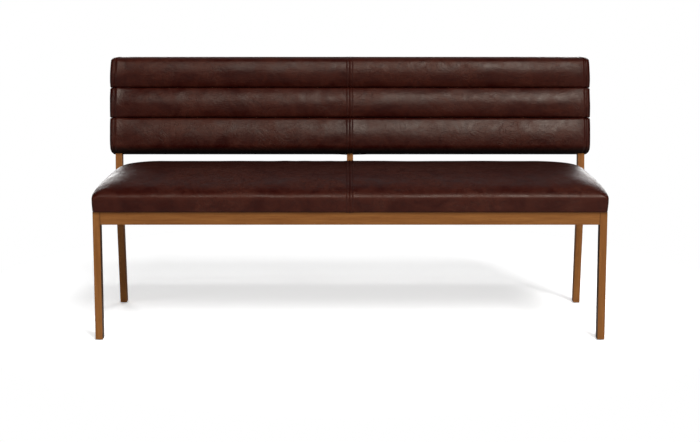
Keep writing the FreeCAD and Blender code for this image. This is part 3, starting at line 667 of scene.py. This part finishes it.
def top_rows():
    """The seat's rows up its edge, over the crown and in across the flat top to its middle."""
    rows = []
    straight = THIN_GAP + FOLD
    for share in np.linspace(0, 1, 13)[:-1]:
        drawn = (1 - share) ** 2
        rows.append((EDGE_DRAW_END * drawn, EDGE_DRAW_FRONT * drawn, EDGE_DRAW_FRONT * drawn,
                     RAIL_TOP + straight + (EDGE_HEIGHT - straight) * share, SEAT_CORNER, share))
    risen = np.sin(np.concatenate([np.linspace(0, 0.35, 14), np.linspace(0.35, 0.5 * math.pi, 40)[1:]]))
    insets = [crown_insets(first, run, CROWN_RISE, CROWN_RISE * risen) for first, run in
              ((EDGE_ROUND_SIDE, CROWN_RUN_SIDE), (EDGE_ROUND_FRONT, CROWN_RUN_FRONT),
               (EDGE_ROUND_FRONT, CROWN_RUN_BACK))]
    for end, front, back, up in zip(*insets, risen):
        rows.append((end, front, back, RAIL_TOP + EDGE_HEIGHT + CROWN_RISE * up,
                     SEAT_CORNER + SEAT_CORNER_GROWTH * up, 1 - up))
    top = 0.5 * (SEAT_BACK - SEAT_FRONT - CROWN_RUN_FRONT - CROWN_RUN_BACK)
    for inward in top * np.linspace(0, 1, 9)[1:]:
        rows.append((CROWN_RUN_SIDE + inward, CROWN_RUN_FRONT + inward, CROWN_RUN_BACK + inward,
                     RAIL_TOP + EDGE_HEIGHT + CROWN_RISE, SEAT_CORNER + SEAT_CORNER_GROWTH, 0))
    return rows


def seat_half(word, seed):
    """The right or left half of the seat cushion, and its two rows of stitches. A row of points has
    an inset at the end, front and back, a height, a corner radius and a share of the edge's bow."""
    side = SIDES[word]
    hidden, fold = hidden_rows(), fold_rows()
    end, front, back, z, corner, bow = np.array(hidden + fold + top_rows()).T
    corner = np.minimum(corner, 0.5 * (SEAT_BACK - back - SEAT_FRONT - front))
    x, y, place = plan_rows(HALF_SEAT - end, SEAT_FRONT + front, SEAT_BACK - back, corner, corner)
    level = z[:, None]
    height = level + EDGE_BOW * bow[:, None] * (1 - (2 * place - 1) ** 4)
    grid = np.stack([x, y, height], axis=2)
    columns = x.shape[1]
    along = np.where(np.arange(columns)[None, :] > columns // 2, y, -y) + level
    field = side * x + 3, y + level
    swell = SEAT_SWELL * ripples(*field, seed + 1, wavelength=0.16) + dimples(*field, seed)
    swell = swell * smooth(x / SEAM_CALM) * smooth((level - RAIL_TOP) / SEAM_CALM)
    visible = np.arange(len(z))[:, None] >= len(hidden)
    moved = grid - surface_normals(grid) * (visible * (middle_seam(x, along, seed) - swell))[:, :, None]
    moved[:, 0, X] = moved[:, -1, X] = 0.0
    made = half_shell("seat_cushion_" + word, moved, leathers["seat"], side)
    sewn = slice(len(hidden) + len(fold) + SEAT_STITCH_START, None)
    return made, [stitch_row(moved, sewn, column, side)
                  for column in (STITCH_COLUMN, columns - 1 - STITCH_COLUMN)]


stitches = []
for word, side in SIDES.items():
    cushion, lines = seat_half(word, 40 + side)
    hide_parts("seat_cover_" + word, "seat_crown_foam", "seat_base_foam")
    stitches += lines


# Back pad
def leaned(points):
    """Points made on an upright post, (x, behind the post's front, along the post), in place."""
    x, y, z = points[..., 0], points[..., 1], points[..., 2]
    return np.stack([x, POST_FRONT + y * math.cos(LEAN) + z * math.sin(LEAN),
                     RAIL_TOP - y * math.sin(LEAN) + z * math.cos(LEAN)], axis=-1)


def quarter_ellipse(share):
    """Draw and height shares of a quarter ellipse, share 0 at its upright start, 1 at its flat end."""
    return 1 - math.cos(0.5 * math.pi * share), math.sin(0.5 * math.pi * share)


def bulge(distance, radius):
    """How far a surface with a radius lies behind its crest."""
    return radius - np.sqrt(radius * radius - distance * distance)


def end_seam(beyond):
    """Depth of the upright seam beside the rounded end: on its outer side the end's own circle goes
    on to the seam, on its inner side the channel falls to it along a parabola."""
    on_end = np.minimum(beyond, END_SEAM)
    depth = PAD_CORNER - np.sqrt(PAD_CORNER ** 2 - on_end ** 2)
    ease = np.clip(1 - (beyond - END_SEAM) / END_SEAM_EASE, 0.0, 1.0)
    return np.where(beyond < END_SEAM, depth, depth * ease ** 2)


# Distances of a channel's rows from its seam
SEAM_ROWS = np.array([0, 0.25, 0.6, 1.0, 1.5, 2.1, 2.8, 3.6, 4.6, 5.8, 7.2, 8.9, 10.8]) * 0.001
FLAT_SHARES = (0.25, 0.5, 0.75, 1.0)
STITCH_SKIP = 7  # rows at a seam that have no stitch


def channel_rows(level, low, high):
    """The rows of one channel from its foot up: front draw, end draw, rear draw, height, and the
    bulge's part of the front draw. A bulge of a constant radius rolls in at its seams. The pad's
    own top and bottom roll over a quarter ellipse instead and close on a flat."""
    rounded_top, rounded_bottom = level == "upper", level == "lower"
    radius = CHANNEL_ROUND[level]
    crest = 0.5 * (low + high) + CREST_SHIFT[level]
    start = low + (CLOSINGS[level]["roll"][0] if rounded_bottom else SEAM_ZONE)
    stop = high - (CLOSINGS[level]["roll"][0] if rounded_top else SEAM_ZONE)

    def behind_crest(height):
        return float(bulge(height - crest, radius))

    def seamed(height, gap, roll):
        notch = END_NOTCH[0] * float(seam_fall(gap, END_NOTCH[1]))
        behind = behind_crest(height)
        return behind + float(seam_fall(gap, roll)), notch, REAR_NOTCH * notch, height, behind

    def tapered(height):
        return TOP_TAPER[1] * max(1 - (high - height) / TOP_TAPER[0], 0.0) ** 1.2 if rounded_top else 0.0

    def closing(first, edge, shares, way, roll, end, power, rear, flat):
        """Rows from first over the quarter ellipse to the edge, then in along the flat."""
        base, slope = behind_crest(first), way * (first - crest) / radius
        rows = []
        for share in shares:
            draw, up = quarter_ellipse(share)
            height = first + way * roll[0] * up
            tall = min(way * (edge - height) / end[0], 1.0)
            rounding = max(1 - (1 - tall) ** power, 0.0) ** (1 / power)
            lead = slope * roll[0] * up * (1 - share)
            rows.append((base + roll[1] * draw + lead, tapered(height) + end[1] * (1 - rounding), rear * draw,
                         height, base))
        for share in FLAT_SHARES:
            rows.append((base + roll[1] + flat[0] * share, tapered(edge) + end[1] + flat[1] * share,
                         rear + flat[2] * share, edge, base))
        return rows

    if rounded_bottom:
        rows = closing(start, low, np.linspace(0, 1, 24)[1:], **CLOSINGS[level])[::-1]
    else:
        rows = [seamed(low + step + HALF_SEAM, step, SEAM_ROLLS[level][0]) for step in SEAM_ROWS]
    for height in np.linspace(start, stop, 30):
        front = behind_crest(height)
        rows.append((front, tapered(height), 0.0, height, front))
    if rounded_top:
        rows += closing(stop, high, np.linspace(0, 1, 26)[1:], **CLOSINGS[level])
    else:
        rows += [seamed(high - step - HALF_SEAM, step, SEAM_ROLLS[level][1]) for step in SEAM_ROWS[::-1]]
    return np.array(rows).T


def channel_half(level, word, seed):
    """Half of one channel, and the row of stitches on its front. Towards its end the front flattens
    and falls back, and the relief of the seams is cut into it along its normals."""
    side, (low, high) = SIDES[word], LEVELS[level]
    rounded_top, rounded_bottom = level == "upper", level == "lower"
    front, end, rear, height, bulged = channel_rows(level, low, high)
    front = front - END_FLATNESS * bulged
    end = end + END_LEAN[0] * np.clip((height - END_LEAN[1]) / END_LEAN[2], 0.0, 1.0)
    room = PAD_REAR - rear - PAD_FRONT - front
    rear_corner = np.minimum(PAD_REAR_CORNER, CORNER_ROOM[0] * room)
    corner = np.minimum(PAD_CORNER, CORNER_ROOM[1] * room - rear_corner)
    x, y, _ = plan_rows(HALF_BACK - end, PAD_FRONT + front, PAD_REAR - rear, corner, rear_corner)
    columns = x.shape[1]
    drop_share = smooth((PAD_REAR - rear[:, None] - DROP_BEHIND[0] - y) / DROP_BEHIND[1])
    in_front = np.arange(columns)[None, :] >= (columns + ROUND_END) // 2
    beyond = np.maximum((HALF_BACK - end - corner)[:, None] - x, 0) * in_front
    flattened = smooth((beyond - 0.5 * END_SEAM) / END_FLAT_RUN)
    y = y + in_front * END_FLATNESS * bulged[:, None] * flattened
    y = y + in_front * END_DROP[0] * np.clip(1 - beyond / END_DROP[1], 0, 1) ** 2 * drop_share
    z = np.repeat(height[:, None], columns, 1)
    grid = np.stack([x, y, z], axis=2)

    flush_share, flush_below, flush_run = TOP_FLUSH
    flush = 1 - flush_share * smooth((z - high + flush_below) / flush_run) if rounded_top else 1.0
    over_foot = smooth((z - low) / END_SEAM_FADE) if rounded_bottom else 1.0
    under_top = smooth((high - z) / END_SEAM_FADE) if rounded_top else 1.0
    depth = middle_seam(x, z, seed) * flush + in_front * end_seam(beyond) * over_foot * under_top
    across = side * x
    swell = BACK_SWELL * ripples(across, 1.6 * z, seed + 1, wavelength=0.13) + dimples(across, z, seed + 2)
    swell = swell * smooth(x / SEAM_CALM) * smooth((z - low) / EDGE_CALM) * smooth((high - z) / EDGE_CALM)
    nearest = np.minimum(high - z if not rounded_top else 1.0, z - low if not rounded_bottom else 1.0)
    gathers = smooth(ripples(across, z, seed + 4, wavelength=0.30) + 0.4)
    gathers = gathers * np.exp(-nearest / GATHER_REACH[1]) * smooth(nearest / GATHER_REACH[0])
    gathers = gathers * ripples(across, 0.2 * z, seed + 3, wavelength=0.030) * smooth(x / EDGE_CALM)
    swell = swell + GATHER * gathers
    moved = grid - surface_normals(grid) * (depth - swell)[:, :, None]
    moved[:, 0, X] = moved[:, -1, X] = 0.0

    placed = leaned(moved)
    made = half_shell("%s_channel_%s" % (level, word), placed, leathers[level], side, close_top=True)
    first = len(FLAT_SHARES) if rounded_bottom else STITCH_SKIP
    last = len(placed) - (len(FLAT_SHARES) if rounded_top else STITCH_SKIP)
    return made, stitch_row(placed, slice(first, last), columns - 1 - STITCH_COLUMN, side)


for number, level in enumerate(LEVELS):
    for word, side in SIDES.items():
        pad, line = channel_half(level, word, 60 + 7 * number + side)
        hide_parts("%s_channel_cover_%s" % (level, word), level + "_channel_foam")
        stitches.append(line)


def rear_half(word, seed):
    """Half of the outside back: a flat panel whose four edges roll in over a quarter circle."""
    side = SIDES[word]
    wide = HALF_BACK - REAR_INSET
    low, high = PAD_BOTTOM + REAR_INSET, PAD_TOP - REAR_INSET

    def spread(start, stop, count):
        turn = REAR_ROLL * (1 - np.cos(np.linspace(0, 0.5 * math.pi, 7)))
        flat = np.linspace(start + REAR_ROLL, stop - REAR_ROLL, count)[1:-1]
        return np.concatenate([start + turn, flat, stop - turn[::-1]])

    x = spread(REAR_HALF_GAP, wide, 90)[None, :]
    z = spread(low, high, 40)[:, None]
    edge = np.minimum(np.minimum(x - REAR_HALF_GAP, wide - x), np.minimum(z - low, high - z))
    y = PAD_REAR + REAR_PROUD - seam_fall(np.maximum(edge, 0), REAR_ROLL)
    y = y + REAR_SWELL * ripples(side * x, z, seed, wavelength=0.2) + 0.0012 * smooth(edge / 0.05)
    front = np.broadcast_to(np.stack(np.broadcast_arrays(x, y, z), axis=2), (z.shape[0], x.shape[1], 3))
    rear = front.copy()
    rear[:, :, Y] = PAD_REAR - REAR_SUNK
    rows, columns = front.shape[:2]
    points = np.concatenate([leaned(front).reshape(-1, 3), leaned(rear).reshape(-1, 3)])
    faces = sheet_faces(rows, columns)
    faces += [[k + rows * columns for k in face] for face in faces]
    index = np.arange(rows * columns).reshape(rows, columns)
    ring = np.concatenate([index[0], index[1:, -1], index[-1, -2::-1], index[-2:0:-1, 0]]).tolist()
    for here, there in zip(ring, ring[1:] + ring[:1]):
        faces.append([here, there, there + rows * columns, here + rows * columns])
    points = points * np.array([side, 1, 1])
    return piece("rear_cover_" + word + "_leather", points, faces, leathers["rear"])


for word, side in SIDES.items():
    panel = rear_half(word, 90 + side)
    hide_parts("rear_cover_" + word, "rear_wadding")

threads = thread("top_stitching", stitches, waxed_thread)


# Underside
def dust_cover():
    """Cloth stapled under the deck: it sags by a product of sines between its edges."""
    s, t = np.meshgrid(np.linspace(0, 1, 130), np.linspace(0, 1, 44))
    arch = np.sin(math.pi * s) * np.sin(math.pi * t)
    wave = CLOTH_WAVE * ripples(s * DUST_WIDE, t * DUST_DEEP, 5, wavelength=0.12) * arch
    z = DUST_LOW.z + 0.0003 - CLOTH_SAG * arch ** 0.6 + wave
    grid = np.stack([DUST_LOW.x + DUST_WIDE * s, DUST_LOW.y + DUST_DEEP * t, z], axis=2)
    made = piece("dust_cover", grid.reshape(-1, 3), sheet_faces(*s.shape), dust_cloth_finish())
    thick = made.modifiers.new("thickness", "SOLIDIFY")
    thick.thickness, thick.offset = CLOTH, 0.0
    return made, (DUST_WIDE, DUST_DEEP)


def staple_places():
    """Middles and directions of the staples along the cover's four edges, each a little astray, but
    for those that a bearer or corner block would hide."""
    draw = np.random.default_rng(17)
    places = []
    edges = ((DUST_WIDE, DUST_LOW.y + STAPLE_INSET, X), (DUST_WIDE, DUST_HIGH.y - STAPLE_INSET, X),
             (DUST_DEEP, DUST_LOW.x + STAPLE_INSET, Y), (DUST_DEEP, DUST_HIGH.x - STAPLE_INSET, Y))
    for length, fixed, axis in edges:
        count = int(length / STAPLE_PITCH)
        run = (np.arange(count) + 0.5) / count * (length - 2 * STAPLE_MARGIN) + STAPLE_MARGIN
        run = run + draw.uniform(-STAPLE_STRAY[0], STAPLE_STRAY[0], count) + DUST_LOW[axis]
        turn = draw.uniform(-STAPLE_STRAY[1], STAPLE_STRAY[1], count)
        if axis == X:
            middle, direction = [run, np.full(count, fixed)], [np.cos(turn), np.sin(turn)]
        else:
            middle, direction = [np.full(count, fixed), run], [-np.sin(turn), np.cos(turn)]
        places.append((np.stack(middle, axis=1), np.stack(direction, axis=1)))
    middle, direction = [np.concatenate(parts) for parts in zip(*places)]
    clear = np.ones(len(middle), bool)
    for node in BEARERS + BLOCKS:
        low, high = [np.array(corner)[:2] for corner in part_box(node)]
        clear &= ~np.all((middle > low - STAPLE_CLEAR) & (middle < high + STAPLE_CLEAR), axis=1)
    return middle[clear], direction[clear]


def staples(name, finish):
    """Staples round the dust cover: closed tubes with a flat crown, whose ends turn up into the
    deck over the last tenth."""
    middle, direction = staple_places()
    aside = np.stack([-direction[:, 1], direction[:, 0]], axis=1)
    along = np.array([-1, -1, -0.96, -0.86, 0, 0.86, 0.96, 1, 1]) * STAPLE_HALF
    up = np.array([0.0030, 0.0012, 0.0004, 0, 0, 0, 0.0004, 0.0012, 0.0030])
    tilt = np.radians([0, 0, 35, 80, 90, 100, 145, 180, 180])
    outward = STAPLE_WIRE * np.cos(TUBE_ANGLES)[None, :]
    flat = along[:, None] - outward * np.cos(tilt)[:, None]
    height = DUST_LOW.z - STAPLE_PROUD + up[:, None] - outward * np.sin(tilt)[:, None]
    side = STAPLE_WIRE * np.sin(TUBE_ANGLES)[None, :] + 0 * flat
    level = middle[:, None, None, :] + flat[None, :, :, None] * direction[:, None, None, :] \
        + side[None, :, :, None] * aside[:, None, None, :]
    heights = np.broadcast_to(height[None, :, :, None], level.shape[:3] + (1,))
    points = np.concatenate([level, heights], axis=3).reshape(-1, 3)
    return piece(name, points, tube_faces(len(middle), len(along)), finish)


tacks = staples("cover_staples", steel)
cloth, cut = dust_cover()
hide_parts("seat_dust_cover")

# Floor, light and camera
FLOOR_REACH = 60.0
NEAR_MIDDLE = -0.36  # the soft shadow lies within an ellipse round this place in front
NEAR_SHARES = (0.95, 0.8, 1)
FLOOR_NEAR, FLOOR_FAR, FLOOR_BEHIND = (0.62,) * 3, (0.45,) * 3, (0.12,) * 3
FLOOR_SHADE, FLOOR_GLOW = 1.3, 0.34
ROOM_LIGHT = 0.016
AIM = (0.0, 0.0, 0.55)
# Turn to the right of the front and height in degrees, distance, size in metres, watts
LIGHTS = {"key": (20.0, 38.0, 10.0, (2.6, 4.4), 850.0),
          "front": (1.0, 31.0, 10.0, (2.6, 4.0), 270.0),
          "rear": (180.0, 54.0, 7.0, (7.0, 3.0), 34.0),
          "behind_left": (-157.0, 15.0, 8.0, (3.0, 3.0), 190.0),
          "behind_right": (157.0, 15.0, 8.0, (3.0, 3.0), 190.0),
          "low_left": (-56.0, 8.0, 8.0, (2.6, 2.0), 66.0),
          "low_right": (54.0, 10.0, 8.0, (1.6, 2.4), 26.0)}
LENS, SENSOR = 85.0, 36.0  # in millimetres
EYE = (0.0, -5.5457, 1.2136)
LOOK_DOWN = math.radians(8.93)


def floor():
    """A pale floor, darker behind the bench. For the camera it is white but for the soft shadow."""
    mesh = bpy.data.meshes.new("floor")
    corners = [(x * FLOOR_REACH, y * FLOOR_REACH, 0) for x, y in ((-1, -1), (1, -1), (1, 1), (-1, 1))]
    mesh.from_pydata(corners, [], [(0, 1, 2, 3)])
    made = bpy.data.objects.new("floor", mesh)
    bpy.context.scene.collection.objects.link(made)
    finish = Finish("floor_white")
    finish.tree.nodes.remove(finish.shader)
    place = finish.moved(NEAR_SHARES, (0, NEAR_MIDDLE, 0))
    far = finish.node("ShaderNodeVectorMath", {0: place}, operation="LENGTH").outputs["Value"]
    far = Reading(finish, far)
    tone = finish.mixed(far.between(1.5, 2.3), FLOOR_NEAR, FLOOR_FAR)
    tone = finish.mixed(finish.along(Y).between(0.30, 0.50), tone, FLOOR_BEHIND)

    def glowing(strength):
        return finish.node("ShaderNodeEmission", {"Color": (1, 1, 1, 1), "Strength": strength}).outputs[0]

    def either(share, first, second):
        return finish.node("ShaderNodeMixShader", {0: share, 1: first, 2: second}).outputs[0]

    body = finish.node("ShaderNodeBsdfDiffuse", {"Color": tone}).outputs[0]
    shade = finish.node("ShaderNodeBsdfDiffuse", {"Color": (FLOOR_SHADE,) * 3 + (1,)}).outputs[0]
    near = finish.node("ShaderNodeAddShader", {0: shade, 1: glowing(FLOOR_GLOW)}).outputs[0]
    seen = either(far.between(0.95, 1.35), near, glowing(1.0))
    camera_ray = finish.node("ShaderNodeLightPath", {}).outputs["Is Camera Ray"]
    finish.tree.links.new(either(camera_ray, body, seen), finish.output.inputs["Surface"])
    mesh.materials.append(finish.material)


def world():
    """Dim even light, white to the camera."""
    made = bpy.data.worlds.new("studio")
    bpy.context.scene.world = made
    made.use_nodes = True
    tree = made.node_tree
    tree.nodes.clear()
    dim, white = [add_node(tree, "ShaderNodeBackground", {"Color": (1, 1, 1, 1), "Strength": strength})
                  for strength in (ROOM_LIGHT, 1.0)]
    camera_ray = add_node(tree, "ShaderNodeLightPath", {}).outputs["Is Camera Ray"]
    mix = add_node(tree, "ShaderNodeMixShader", {0: camera_ray, 1: dim.outputs[0], 2: white.outputs[0]})
    add_node(tree, "ShaderNodeOutputWorld", {"Surface": mix.outputs[0]})


def softbox(name, turn, height, distance, size, watts):
    """A rectangular light that looks at AIM from a turn and height, in degrees, at a distance."""
    turn, height = math.radians(turn), math.radians(height)
    level = distance * math.cos(height)
    place = (AIM[0] + level * math.sin(turn), AIM[1] - level * math.cos(turn),
             AIM[2] + distance * math.sin(height))
    light = bpy.data.lights.new(name, "AREA")
    light.shape = "RECTANGLE"
    light.size, light.size_y = size
    light.energy = watts
    made = bpy.data.objects.new(name, light)
    made.location = place
    made.rotation_euler = (Vector(AIM) - Vector(place)).to_track_quat("-Z", "Y").to_euler()
    bpy.context.scene.collection.objects.link(made)


floor()
world()
for name, values in LIGHTS.items():
    softbox(name, *values)

camera = bpy.data.cameras.new("camera")
camera.lens, camera.sensor_width = LENS, SENSOR
eye = bpy.data.objects.new("camera", camera)
eye.location = EYE
eye.rotation_euler = (math.radians(90) - LOOK_DOWN, 0.0, 0.0)
bpy.context.scene.collection.objects.link(eye)
bpy.context.scene.camera = eye
bpy.context.scene.view_settings.view_transform = "Standard"
